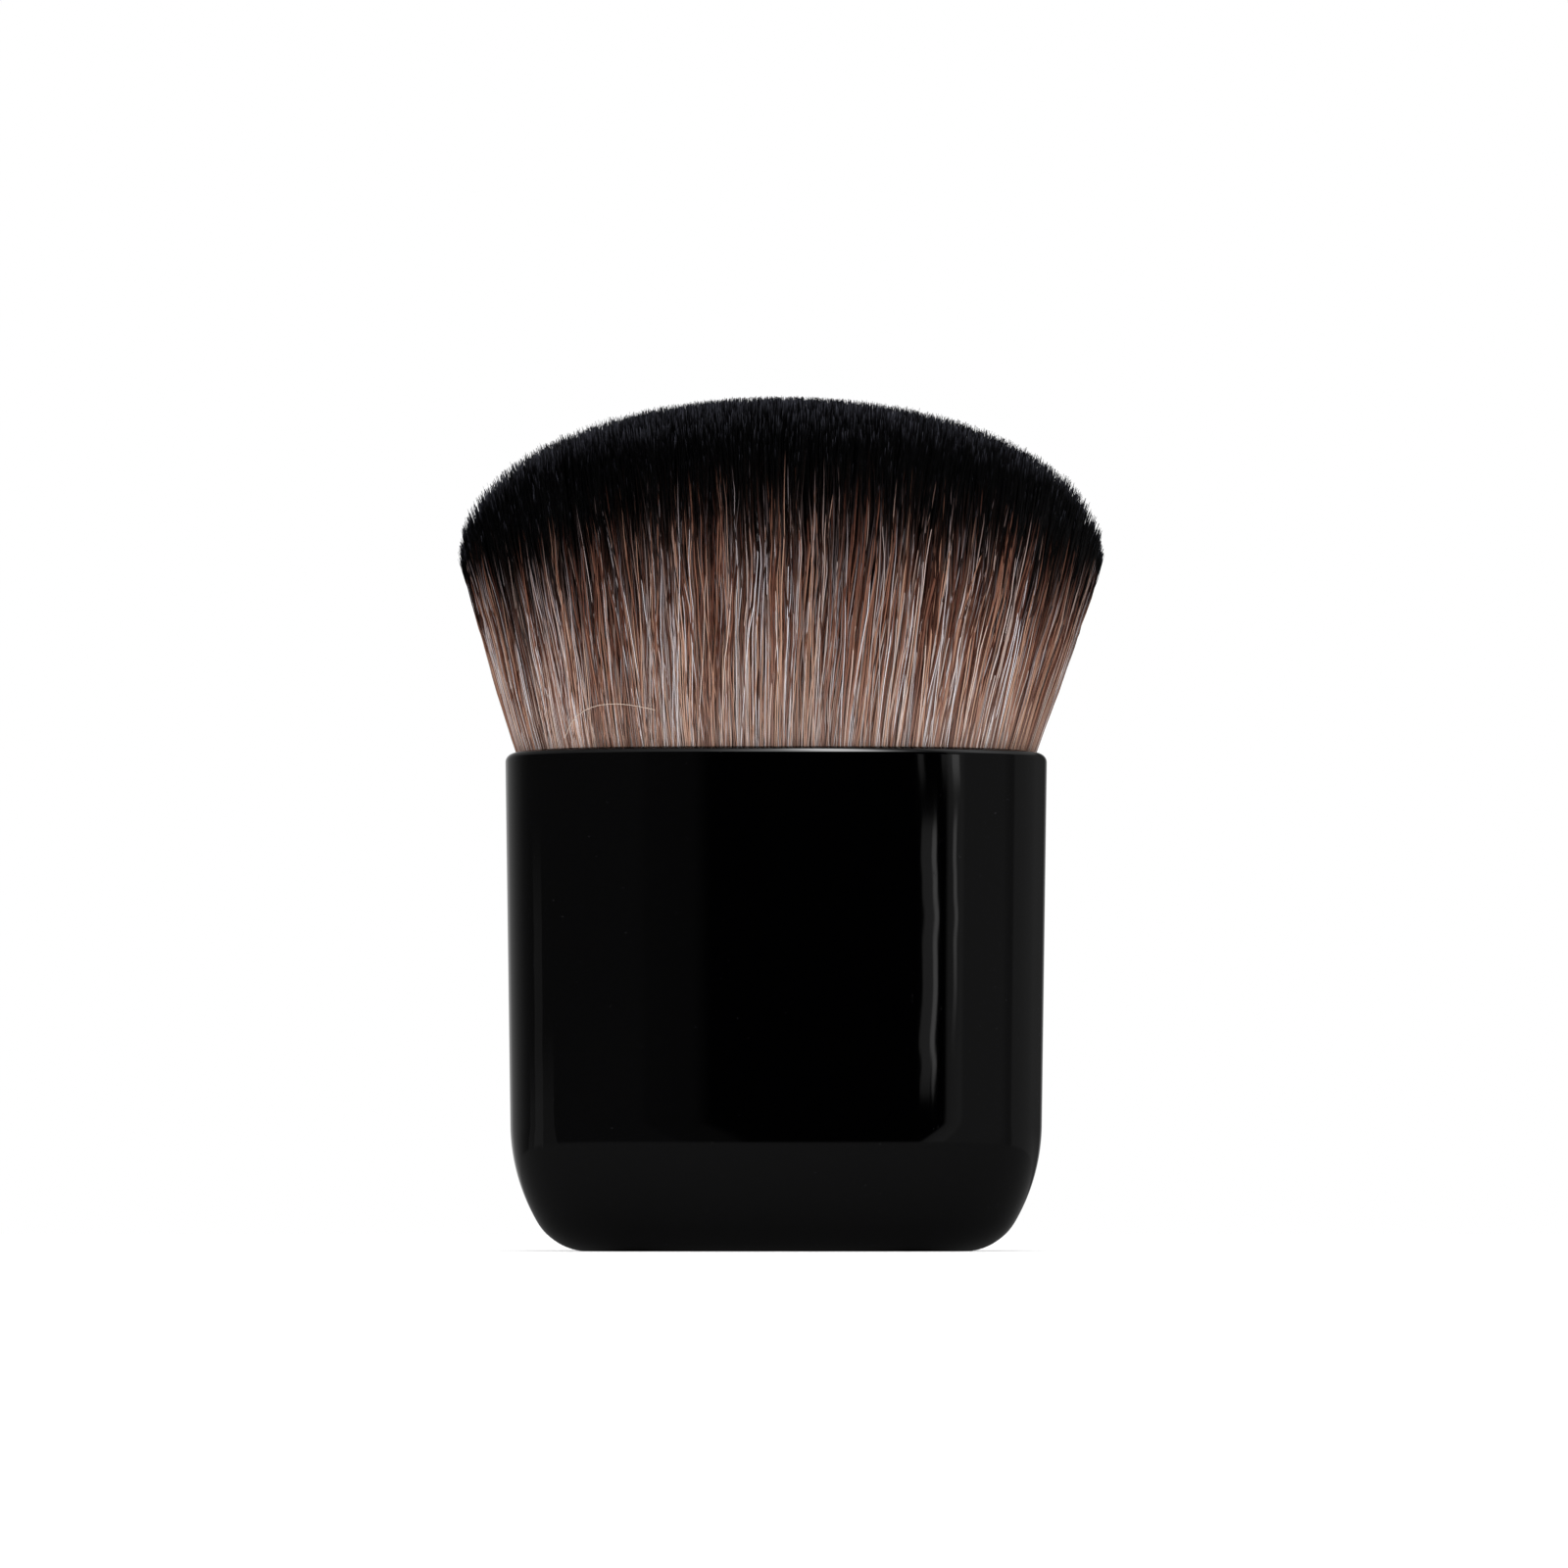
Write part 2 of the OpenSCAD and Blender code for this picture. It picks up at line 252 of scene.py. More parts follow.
class Graph:
    """A node tree whose nodes are added by kind, settings and inputs."""

    def __init__(self, tree):
        self.tree = tree

    def node(self, kind, settings=None, inputs=None, output=0):
        """Adds a node and returns one of its outputs as a term."""
        made = self.tree.nodes.new(kind)
        for name, value in (settings or {}).items():
            if name == "stops":
                set_stops(made.color_ramp, value)
            elif name == "captures":
                for item in value:
                    made.capture_items.new("FLOAT", item)
            else:
                setattr(made, name, value)
        for name, value in (inputs or {}).items():
            feed(made.inputs[name], value)
        return Term(made.outputs[output])

    def parts(self, vector):
        """X, Y and Z of a vector."""
        made = self.tree.nodes.new("ShaderNodeSeparateXYZ")
        feed(made.inputs[0], vector)
        return [Term(socket) for socket in made.outputs]

    def vector(self, x, y, z):
        return self.node("ShaderNodeCombineXYZ", inputs={"X": x, "Y": y, "Z": z})

    def mix(self, factor, one, other):
        """Colour from one to the other."""
        made = self.tree.nodes.new("ShaderNodeMix")
        made.data_type = "RGBA"
        feed(made.inputs["Factor"], factor)
        one_socket, other_socket = [socket for socket in made.inputs if socket.type == "RGBA"]
        feed(one_socket, one)
        feed(other_socket, other)
        return Term(next(socket for socket in made.outputs if socket.type == "RGBA"))


def set_stops(ramp, stops):
    """Gives a colour ramp its stops: pairs of place and colour, or of place and grey."""
    while len(ramp.elements) < len(stops):
        ramp.elements.new(1)
    for element, (place, tone) in zip(ramp.elements, stops):
        element.position = place
        element.color = (*tone, 1) if isinstance(tone, tuple) else (tone, tone, tone, 1)


class Surface(Graph):
    """A material with one Principled shader. Constants are set on the shader's own sockets."""

    def __init__(self, name, constants):
        self.material = bpy.data.materials.new(name)
        self.material.use_nodes = True
        super().__init__(self.material.node_tree)
        self.tree.nodes.clear()
        self.shader = self.tree.nodes.new("ShaderNodeBsdfPrincipled")
        output = self.tree.nodes.new("ShaderNodeOutputMaterial")
        self.tree.links.new(self.shader.outputs[0], output.inputs["Surface"])
        for name, value in constants.items():
            feed(self.shader.inputs[name], value)

    def place(self, scale=(1, 1, 1)):
        """Object coordinates, stretched by a scale."""
        here = self.node("ShaderNodeTexCoord", output="Object")
        return self.node("ShaderNodeMapping", inputs={"Vector": here, "Scale": scale})

    def noise(self, scale, detail=3, stretch=(1, 1, 1)):
        """Noise of about this many grains in a metre."""
        return self.node("ShaderNodeTexNoise", inputs={
            "Vector": self.place(stretch), "Scale": scale, "Detail": detail,
        })

    def cells(self, scale):
        """Distance from the middle of each of about this many cells in a metre."""
        return self.node("ShaderNodeTexVoronoi", inputs={"Vector": self.place(), "Scale": scale})

    def paint(self, colour):
        feed(self.shader.inputs["Base Color"], colour)

    def roughen(self, mask, smooth, rough):
        """Roughness from smooth, where the mask is 0, to rough, where it is 1."""
        feed(self.shader.inputs["Roughness"], smooth + mask * (rough - smooth))

    def bump(self, height, distance):
        made = self.node("ShaderNodeBump", inputs={"Height": height, "Distance": distance})
        feed(self.shader.inputs["Normal"], made)


DUST_COVER = 0.25  # how much of the moulding's black a grain of dust hides
HAZE_SHARE = 0.12  # how much haze roughens the gloss, as a share of what dust does


def gloss_black(handle):
    """Mirror-smooth black moulding with a faint ripple and a little fine dust."""
    surface = Surface("gloss_black", {"IOR": 1.5, "Base Color": tuple(handle.black)})
    dust = surface.noise(2600, detail=2).step(0.72, 0.8)
    haze = surface.noise(90, detail=4)
    surface.paint(surface.mix(dust * DUST_COVER, tuple(handle.black), (0.02, 0.02, 0.022)))
    surface.roughen(dust + haze * HAZE_SHARE, smooth=0.025, rough=0.275)
    surface.bump(surface.noise(220, detail=1), 0.0006 * MM)
    return surface.material


# Tones of the filaments, from the darkest to the palest
FILAMENT_TONES = [
    (0.0, (0.10, 0.035, 0.022)), (0.12, (0.21, 0.085, 0.055)), (0.25, (0.36, 0.165, 0.105)),
    (0.38, (0.50, 0.27, 0.18)), (0.50, (0.63, 0.40, 0.29)), (0.60, (0.49, 0.43, 0.42)),
    (0.72, (0.77, 0.58, 0.485)), (0.86, (0.77, 0.72, 0.745)), (1.0, (0.94, 0.92, 0.96)),
]
# How much of its tone a filament keeps on the way from the root to the dye line, at the front through its
# dye, and behind it through its dye and painted shade
FRONT_FADE = [
    (0.40, (1, 1, 1)), (0.58, (0.80, 0.76, 0.76)), (0.68, (0.52, 0.47, 0.47)), (0.75, (0.24, 0.20, 0.20)),
    (DYE_LEVEL, (0.03, 0.022, 0.022)),
]
# Painted shade with the dye: the filaments behind the front ones darken sooner and further
DEEP_DYE_AND_SHADE = [
    (0.20, (0.8, 0.78, 0.77)), (0.45, (0.50, 0.44, 0.43)), (0.62, (0.15, 0.12, 0.12)),
    (0.74, (0.01, 0.007, 0.007)),
]
ROOT_TINT_AND_LIFT = 0.24  # how far the tones lean to the root colour at the rim: partly the roots' own paler colour, partly painted light that lifts the shade among the dense roots
ROOT_REACH = (0.1, 0.5)  # levels between which that wears off
DYE_EDGE = 0.02  # how far below the dye line brown starts to give way to black
LIT_TIP_RARITY = 2  # how much rarer tips with the painted highlight are than pale filaments


def filament_finish(head):
    """Filaments of many tones, pale at the rim, darker towards the dye line and dyed black above it. Painted
    shade darkens the filaments behind the front ones, painted light lifts the roots at the rim, and a painted
    highlight lightens some tips.
    """
    surface = Surface("filament", {"IOR": 1.5, "Roughness": 0.42, "Specular IOR Level": 0.25})
    across, along, _ = surface.parts(surface.node("ShaderNodeUVMap", {"uv_map": MAP_NAME}))
    lane = (across * LANES).floor()
    deep = lane.math("GREATER_THAN", lane, FRONT_LANES - 0.5)
    pallor = (lane - deep * FRONT_LANES) / (FRONT_LANES - 1)
    tone = surface.node("ShaderNodeValToRGB", {"stops": FILAMENT_TONES}, {"Fac": pallor})
    # Partly painted light: the tones lean to the pale root colour near the rim
    tone = surface.mix(ROOT_TINT_AND_LIFT - along.step(*ROOT_REACH) * ROOT_TINT_AND_LIFT, tone, tuple(head.root))
    front_kept, deep_dye_and_shade = [
        surface.node("ShaderNodeValToRGB", {"stops": stops}, {"Fac": along})
        for stops in (FRONT_FADE, DEEP_DYE_AND_SHADE)
    ]
    # Painted shade: filaments behind the front ones take the darker fade, for the shade among them
    kept_and_shaded = surface.mix(deep, front_kept, deep_dye_and_shade)
    brown = surface.node("ShaderNodeVectorMath", {"operation": "MULTIPLY"}, {0: tone, 1: kept_and_shaded})
    # Painted highlight: the last stretch of some dyed filaments turns from the dye colour to the tip colour
    black = surface.mix(along.step(TIP_LEVEL, 1) * (pallor ** LIT_TIP_RARITY), tuple(head.dye), tuple(head.tip))
    surface.paint(surface.mix(along.step(DYE_LEVEL - DYE_EDGE, DYE_LEVEL), brown, black))
    return surface.material


def pale_filament():
    """A single stray filament, pale all along."""
    surface = Surface("pale_filament", {"IOR": 1.5, "Roughness": 0.4})
    surface.paint(surface.mix(surface.noise(800), (0.42, 0.31, 0.25), (0.70, 0.57, 0.48)))
    return surface.material


CELL_SHADE = 1.6  # how fast foam darkens from the middle of a cell


def foam():
    """Dark closed-cell foam."""
    surface = Surface("foam", {"Roughness": 0.9})
    cells = surface.cells(3200)
    surface.paint(surface.mix(cells * CELL_SHADE, (0.075, 0.075, 0.08), (0.03, 0.03, 0.034)))
    surface.bump(cells, 0.08 * MM)
    return surface.material


def sawn_steel():
    """Steel bar with saw marks across its faces."""
    surface = Surface("sawn_steel", {"Metallic": 1})
    marks = surface.noise(300, detail=4, stretch=(1, 1, 14))
    stain = surface.noise(160, detail=4)
    surface.paint(surface.mix(stain, (0.42, 0.43, 0.45), (0.60, 0.60, 0.61)))
    surface.roughen(marks, smooth=0.28, rough=0.53)
    surface.bump(marks, 0.02 * MM)
    return surface.material


def black_moulding():
    """Plain moulded insert with a fine spark-eroded grain."""
    surface = Surface("black_moulding", {"IOR": 1.48})
    grain = surface.noise(3500)
    surface.paint(surface.mix(grain, (0.028, 0.029, 0.032), (0.045, 0.046, 0.05)))
    surface.roughen(surface.noise(200), smooth=0.45, rough=0.65)
    surface.bump(grain, 0.012 * MM)
    return surface.material


def cured_adhesive():
    """Cream adhesive with blotches where it was pressed thin."""
    surface = Surface("cured_adhesive", {"IOR": 1.5})
    blotch = surface.noise(260, detail=4)
    surface.paint(surface.mix(blotch.step(0.35, 0.65), (0.62, 0.56, 0.40), (0.50, 0.43, 0.27)))
    surface.roughen(blotch, smooth=0.3, rough=0.6)
    surface.bump(blotch, 0.06 * MM)
    return surface.material


def drawn_aluminium():
    """Bright aluminium with the fine upright lines that drawing leaves."""
    surface = Surface("drawn_aluminium", {"Metallic": 1})
    lines = surface.noise(5200, stretch=(1, 1, 0.03))
    surface.paint(surface.mix(lines, (0.68, 0.69, 0.71), (0.80, 0.81, 0.83)))
    surface.roughen(lines, smooth=0.2, rough=0.42)
    surface.bump(lines, 0.008 * MM)
    return surface.material


def cast_resin():
    """Amber resin with clouds and small bubbles."""
    surface = Surface("cast_resin", {"IOR": 1.54})
    clouds = surface.noise(180, detail=4)
    bubbles = surface.cells(900)
    surface.paint(surface.mix(clouds, (0.44, 0.27, 0.09), (0.62, 0.44, 0.20)))
    surface.roughen(clouds, smooth=0.12, rough=0.27)
    surface.bump(bubbles.step(0.1, 0.25), 0.05 * MM)
    return surface.material


PLIES_ROUND = 70  # plies in one turn about the brush's axis
PLIES_UP = 7000  # how fast they climb, in radians a metre


def waxed_thread():
    """Pale thread whose plies climb round it."""
    surface = Surface("waxed_thread", {"Roughness": 0.6})
    x, y, z = surface.parts(surface.place())
    turn = x.math("ARCTAN2", y, x)
    plies = ((turn * PLIES_ROUND + z * PLIES_UP).sin() + 1) / 2
    surface.paint(surface.mix(plies, (0.55, 0.50, 0.41), (0.80, 0.76, 0.67)))
    surface.bump(plies, 0.06 * MM)
    return surface.material


def new_object(name, data):
    """An object in the scene, at the origin."""
    made = bpy.data.objects.new(name, data)
    bpy.context.scene.collection.objects.link(made)
    return made


def add_piece(name, mesh, material, stands_for):
    """A piece of the brush on its one body, with the nodes that it stands for."""
    mesh.materials.clear()
    mesh.materials.append(material)
    piece = new_object(name, mesh)
    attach(piece, "root")
    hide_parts(*stands_for)


def plan_point(turn, power):
    """Point of the unit superellipse, with more points where it turns most."""
    c, s = math.cos(turn), math.sin(turn)
    return Vector((math.copysign(abs(c) ** (2 / power), c), math.copysign(abs(s) ** (2 / power), s)))


def ring(half, power, z, steps):
    """Points of an outline at height z, anticlockwise seen from above."""
    points = [plan_point(math.tau * i / steps, power) for i in range(steps)]
    return [Vector((p.x * half.x, p.y * half.y, z)) for p in points]


SHARP_ANGLE = math.radians(32)  # faces that meet at more than this show an edge


def skin(name, rings):
    """Closed mesh through rings with the same number of points, with flat ends."""
    n = len(rings[0])
    last = (len(rings) - 1) * n
    faces = [
        (i + j, i + (j + 1) % n, i + n + (j + 1) % n, i + n + j)
        for i in range(0, last, n) for j in range(n)
    ]
    faces += [tuple(reversed(range(n))), tuple(range(last, last + n))]
    mesh = bpy.data.meshes.new(name)
    mesh.from_pydata([point for points in rings for point in points], [], faces)
    mesh.shade_smooth()
    mesh.set_sharp_from_angle(angle=SHARP_ANGLE)
    return mesh


class Wall:
    """The handle's outer wall, worked out from its settings."""

    def __init__(self, handle):
        self.handle = handle
        self.half = Vector((handle.width, handle.depth)) / 2
        self.rim_start = handle.height - handle.rim
        self.foot_top = handle.foot * (1 - math.sin(handle.lean))
        self.flank_top = self.foot_top + handle.flank * (math.sin(handle.lean) - math.sin(handle.draft))
        self.draft_run = (self.rim_start - self.flank_top) * math.tan(handle.draft)
        flank_run = handle.flank * (math.cos(handle.draft) - math.cos(handle.lean))
        self.base_inset = self.draft_run + flank_run + handle.foot * math.cos(handle.lean)

    def inset(self, z):
        """How far the wall lies inside the rim's outline at height z."""
        handle = self.handle
        if z >= self.flank_top:
            return max(0, self.rim_start - z) * math.tan(handle.draft)
        if z >= self.foot_top:
            lean = math.asin(math.sin(handle.draft) + (self.flank_top - z) / handle.flank)
            return self.draft_run + handle.flank * (math.cos(handle.draft) - math.cos(lean))
        return self.base_inset - math.sqrt(max(0, handle.foot ** 2 - (handle.foot - z) ** 2))


def arc(start, end, steps):
    """Angles from start to end, both included."""
    return [start + (end - start) * i / steps for i in range(steps + 1)]


OUTLINE_STEPS = 320  # points round the handle
FOOT_STEPS = 16
FLANK_STEPS = 28
WALL_STEPS = 12
RIM_STEPS = 12
WELL_STEPS = 10
EDGE_STRIP = 0.1 * MM  # strip of wall under the rounded edge, so that the wall below shades as straight


def shell_section(wall):
    """Pairs of inset and height: up the outside, over the rim and down inside to the floor."""
    handle = wall.handle
    quarter = math.pi / 2
    heights = [handle.foot * (1 - math.sin(lean)) for lean in arc(quarter, handle.lean, FOOT_STEPS)]
    heights += arc(wall.foot_top, wall.flank_top, FLANK_STEPS)[1:]
    heights += arc(wall.flank_top, wall.rim_start - EDGE_STRIP, WALL_STEPS)[1:]
    section = [(Vector.Fill(2, wall.inset(z)), z) for z in heights]
    for turn in arc(0, quarter, RIM_STEPS):
        section.append((
            Vector.Fill(2, handle.rim * (1 - math.cos(turn))), wall.rim_start + handle.rim * math.sin(turn)
        ))

    ledge = CUP_HIGH.z - CUP_WALL
    section.append((Vector.Fill(2, handle.edge), handle.height - (handle.edge - handle.rim)))
    for z in (handle.height - handle.mouth, ledge):
        section.append((Vector.Fill(2, wall.inset(z) + handle.upper_wall), z))

    well = wall.half - Vector((RESIN_HIGH.x, RESIN_HIGH.y))
    well -= Vector.Fill(2, CUP_WALL + 2 * handle.bond + wall.inset(CUP_LOW.z))
    bevel_top = TAPE_LOW.z + handle.bevel
    for z in [ledge] + arc(wall.flank_top, bevel_top, WELL_STEPS):
        section.append((well + Vector.Fill(2, wall.inset(z)), z))
    section.append((well + Vector.Fill(2, wall.inset(bevel_top) + handle.bevel), TAPE_LOW.z))
    return section


class KABUKI_OT_handle(bpy.types.Operator):
    """Builds the gloss handle as one closed moulding with a hollow for the cup and the weight"""

    bl_idname = "kabuki.handle"
    bl_label = "Handle"

    def execute(self, context):
        handle = context.scene.kabuki.handle
        wall = Wall(handle)
        rings = [ring(wall.half - inset, handle.power, z, OUTLINE_STEPS) for inset, z in shell_section(wall)]
        mesh = skin("gloss_handle", rings)
        add_piece("gloss_handle", mesh, gloss_black(handle), ["handle_shell"])
        return {"FINISHED"}


INPUT_KINDS = {
    int: "NodeSocketInt", float: "NodeSocketFloat", bpy.types.Material: "NodeSocketMaterial",
}


class Growth(Graph):
    """A Geometry Nodes tree with named inputs."""

    def __init__(self, name, values):
        super().__init__(bpy.data.node_groups.new(name, "GeometryNodeTree"))
        for title, value in values.items():
            kind = INPUT_KINDS[type(value)]
            self.tree.interface.new_socket(title, in_out="INPUT", socket_type=kind)
        self.tree.interface.new_socket("Geometry", in_out="OUTPUT", socket_type="NodeSocketGeometry")
        self.given = self.tree.nodes.new("NodeGroupInput")

    def take(self, *titles):
        """The inputs with these names."""
        return [Term(self.given.outputs[title]) for title in titles]

    def finish(self, geometry, material):
        """Ends the tree with real geometry in its material."""
        real = self.node("GeometryNodeRealizeInstances", inputs={"Geometry": geometry})
        dressed = self.node("GeometryNodeSetMaterial", inputs={"Geometry": real, "Material": material})
        output = self.tree.nodes.new("NodeGroupOutput")
        feed(output.inputs["Geometry"], dressed)


def grow(name, tree, values):
    """Runs a tree once with these input values and returns the mesh that it makes."""
    carrier = new_object(name, bpy.data.meshes.new(name))
    modifier = carrier.modifiers.new("Growth", "NODES")
    modifier.node_group = tree
    for item in tree.interface.items_tree:
        if item.in_out == "INPUT":
            modifier[item.identifier] = values[item.name]
    depsgraph = bpy.context.evaluated_depsgraph_get()
    mesh = bpy.data.meshes.new_from_object(
        carrier.evaluated_get(depsgraph), preserve_all_data_layers=True, depsgraph=depsgraph
    )
    if not mesh.polygons:
        raise RuntimeError(f"{name} came out empty")
    carrier.modifiers.remove(modifier)
    bpy.data.objects.remove(carrier)
    return mesh


def rounded(x, y, power):
    """Takes a point of the square from -1 to 1 to the unit superellipse, edge to edge."""
    return [a * (1 - abs(b) ** power / 2) ** (1 / power) for a, b in ((x, y), (y, x))]


FILAMENT_SIDES = 3
TIP_WANDER = 0.13  # how far a tip strays at most from its root's place, as a share of the half width
TIP_EDGE = 0.985  # share of the half width that no tip passes
TIP_LENGTH = 1.6 * MM  # last stretch of a filament, which catches the light
CUT_BIAS = 1.5  # how much rarer deep cuts are than shallow ones
SLICE_GRIP = 0.4 * MM  # how deep a filament stands in the slice
SWING_REACH = (1 * MM, 12 * MM)  # heights above the rim between which filaments come free to swing
DRIFT_SIZE = 2.4 * MM  # width of the bundles that drift together
DRIFT_LENGTH = 16 * MM  # length over which they change course
WAVE_SHORT = 8 * MM  # length of the shortest waves
WAVE_LONG = 24 * MM  # length of the longest waves
TUFT_SIZE = 1 * MM  # width of the small tufts that tips gather into
TUFT_PULL = 0.22  # how far tips are drawn to the middle of their tuft
DYE_STRAY = 0.7  # how much further up than the scatter the dye line may lie on a rare filament
DYE_RARITY = 8  # how rare such filaments are
DYE_FALL = 0.8  # how much of the ridge's fall to the sides the dye line follows
DYE_TILT = 1.3 * MM  # how much the dye line is raised at the right-hand edge and lowered at the left
RIGHT_SHADE_TILT = 0.36  # painted shade: how much rarer pale filaments are drawn on the right-hand side, to darken that side
RIGHT_SHADE_PLACE = (0.08, 0.4)  # where that change starts and ends, as shares of the half width
DARK_WIDTH = 1.3  # width of the darkest filaments, as a share of the head's filament thickness
PALE_THINNING = 0.6  # how much of that the palest ones lack
TIP_THINNING = 0.7  # share of its width that a filament loses towards its tip
TIP_TAPER = 6  # how late it loses it
# A filament's faces on the map: where its first side lies in its lane, how far over and up each further side
# lies, and how much of the map's height is used
LANE_START = 0.2
LANE_STEP = 0.3
LEVEL_STEP = 0.004
LEVEL_TOP = 0.99


def filament_tree(values):
    """Filaments that rise from the root slice, pass the rim, spread and end at the domed crown."""
    tree = Growth("filaments", values)
    rings, seed, inner, outer = tree.take("Rings", "Seed", "Inner Edge", "Outer Edge")
    root_z, rim_z, spread_z = tree.take("Root Height", "Rim Height", "Spread Height")
    root_x, root_y, root_power = tree.take("Root Half Width", "Root Half Depth", "Root Squareness")
    half_x, half_y, power = tree.take("Half Width", "Half Depth", "Squareness")
    dome, drop, trim = tree.take("Dome Height", "Drop", "Trim")
    wave, drift, thickness, bow, lean = tree.take("Wave", "Drift", "Thickness", "Bow", "Lean")
    dye_depth, dye_floor, dye_scatter = tree.take("Dye Depth", "Dye Floor", "Dye Scatter")

    line = tree.node("GeometryNodeCurvePrimitiveLine")
    line = tree.node("GeometryNodeResampleCurve", inputs={"Curve": line, "Count": rings})
    points = tree.node("GeometryNodePoints", inputs={"Count": tree.take("Count")[0]})
    lines = tree.node("GeometryNodeInstanceOnPoints", inputs={"Points": points, "Instance": line})
    lines = tree.node("GeometryNodeRealizeInstances", inputs={"Geometry": lines})

    index = tree.node("GeometryNodeInputIndex")
    strand = (index / rings).floor()
    step = index - strand * rings

    def draw(offset):
        """Three random numbers from 0 to 1, the same all along a filament."""
        return tree.parts(tree.node(
            "FunctionNodeRandomValue", {"data_type": "FLOAT_VECTOR"}, {"ID": strand, "Seed": seed + offset}
        ))

    # Where the filament stands in the bundle, and where its tip ends up
    x, y, share = draw(0)
    x, y = x * 2 - 1, y * 2 - 1
    reach = (inner * inner + (outer * outer - inner * inner) * share).sqrt() / abs(x).most(abs(y))
    x, y = x * reach, y * reach
    stray_x, stray_y, cut = draw(1)
    stray_x, stray_y = stray_x * 2 - 1, stray_y * 2 - 1
    tip_x = (x + stray_x * abs(stray_x) * TIP_WANDER).within(-TIP_EDGE, TIP_EDGE)
    tip_y = (y + stray_y * abs(stray_y) * TIP_WANDER).within(-TIP_EDGE, TIP_EDGE)
    foot_x, foot_y = rounded(x, y, root_power)
    foot_x, foot_y = foot_x * root_x, foot_y * root_y
    round_x, round_y = rounded(tip_x, tip_y, power)
    wide_x, wide_y = round_x * half_x, round_y * half_y

    # The crown's height above the spread level on that line
    rise = spread_z - root_z
    flare = (half_x - root_x) / rise / half_x
    a = (round_x * flare) ** 2 + 1 / (dome * dome)
    b = flare * round_x * round_x
    ridge = ((b * b - a * (round_x * round_x - 1)).sqrt() - b) / a
    crown = ridge * (1 - drop / dome * (1 - (1 - round_y * round_y).sqrt()))

    # Height of each ring: one in the slice, one at the rim, the rest evenly to the last stretch, and the tip
    full = rise + crown - cut ** CUT_BIAS * trim * ridge / dome
    mouth = rim_z - root_z
    last = step.math("GREATER_THAN", step, rings - 1.5)
    climb = mouth + (full - TIP_LENGTH - mouth) * (step - 1).most(0) / (rings - 3)
    climb = climb + (full - climb) * last
    climb = climb - (mouth + SLICE_GRIP) * (1 - step.least(1))
    out = climb / rise
    x, y, z = foot_x + (wide_x - foot_x) * out, foot_y + (wide_y - foot_y) * out, root_z + climb
    free = ((climb - mouth) / (full - mouth)).within(0, 1)
    belly = free * (1 - free) * 4 * bow
    x = x + belly * round_x + z.step(rim_z, spread_z) * lean
    y = y + belly * round_y

    # Waves: bundles drift together, each filament has its own, and tips gather into small tufts
    swing = (z - rim_z).step(*SWING_REACH)
    flow = tree.vector(x / DRIFT_SIZE, y / DRIFT_SIZE, z / DRIFT_LENGTH)
    flow = tree.node("ShaderNodeTexNoise", inputs={"Vector": flow, "Scale": 1, "Detail": 2}, output="Color")
    flow_x, flow_y, _ = tree.parts(flow)
    curl, twist, size = draw(2)
    pitch = math.tau * z / (WAVE_SHORT + (WAVE_LONG - WAVE_SHORT) * size)
    own = wave * cut * cut
    shift_x = (flow_x - 0.5) * drift * 2 + (pitch + curl * math.tau).sin() * own
    shift_y = (flow_y - 0.5) * drift * 2 + (pitch + twist * math.tau).sin() * own
    tufts = tree.node("ShaderNodeTexVoronoi", inputs={
        "Vector": tree.vector(wide_x, wide_y, 0), "Scale": 1 / TUFT_SIZE,
    }, output="Position")
    tuft_x, tuft_y, _ = tree.parts(tufts)
    pull = TUFT_PULL * free * free
    shift_x = shift_x * swing + (tuft_x - wide_x) * pull
    shift_y = shift_y * swing + (tuft_y - wide_y) * pull
    lines = tree.node("GeometryNodeSetPosition", inputs={
        "Geometry": lines, "Position": tree.vector(x + shift_x, y + shift_y, z),
    })

    # Tone and level for the filaments' own map, with pale tones drawn rarer on the right-hand side as painted
    # shade. Pale filaments are the thinnest.
    pallor, rare, spot = draw(3)
    pallor = pallor ** (1 + round_x.step(*RIGHT_SHADE_PLACE) * RIGHT_SHADE_TILT)
    # Filaments inside the deep share go to the deep lanes, whose colour carries painted shade
    deep = share.math("LESS_THAN", share, *tree.take("Deep Share"))
    lane = (pallor * FRONT_LANES).floor().within(0, FRONT_LANES - 1) + deep * FRONT_LANES
    line_z = spread_z + dome - dye_depth - (dome - ridge) * DYE_FALL + round_x * abs(round_x) * DYE_TILT
    line_z = line_z.most(dye_floor)
    dyed = z + dye_scatter * (spot * 2 - 1) - dye_scatter * DYE_STRAY * rare ** DYE_RARITY
    level = ((dyed - root_z) / (line_z - root_z)).within(0, 1) * DYE_LEVEL
    level = level + ((dyed - line_z) / dye_depth).within(0, 1) * (TIP_LEVEL - DYE_LEVEL)
    level = level.most(last)

